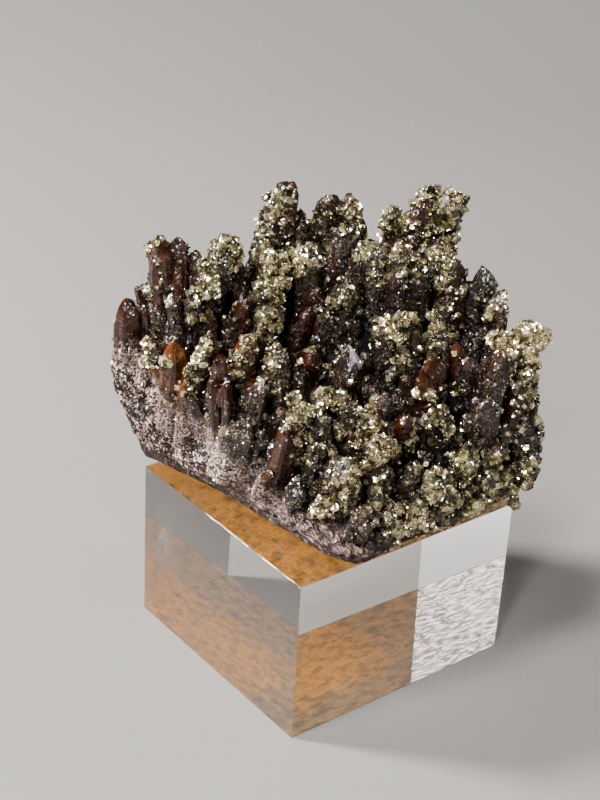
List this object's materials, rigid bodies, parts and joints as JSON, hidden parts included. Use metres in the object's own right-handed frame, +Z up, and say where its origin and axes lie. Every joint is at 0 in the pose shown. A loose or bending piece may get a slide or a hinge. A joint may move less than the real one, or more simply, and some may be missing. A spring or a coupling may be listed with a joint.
{
  "type": "quartz with pyrite specimen on a clear block",
  "caption": "Thicket of hexagonal quartz crystals crusted with pyrite on their matrix, resting on a clear display block.",
  "frame": {"origin": "centre of the display block's underside", "axes": "+Z up, +X along the block's wider side, +Y along its other side; the picture looks from -X, -Y and above"},
  "size_m": [0.0398, 0.0392, 0.0523],
  "materials": {
    "quartz": "glassy smoky brown crystal faces, red-brown where light passes",
    "pyrite": "brassy metallic cubes and clumps",
    "matrix": "rough pinkish grey granular broken face",
    "clear_block": "polished clear acrylic with a mottled underside"
  },
  "bodies": {
    "root": {"quartz_pyrite_cluster": "quartz", "display_block": "clear_block"}
  },
  "joints": []
}
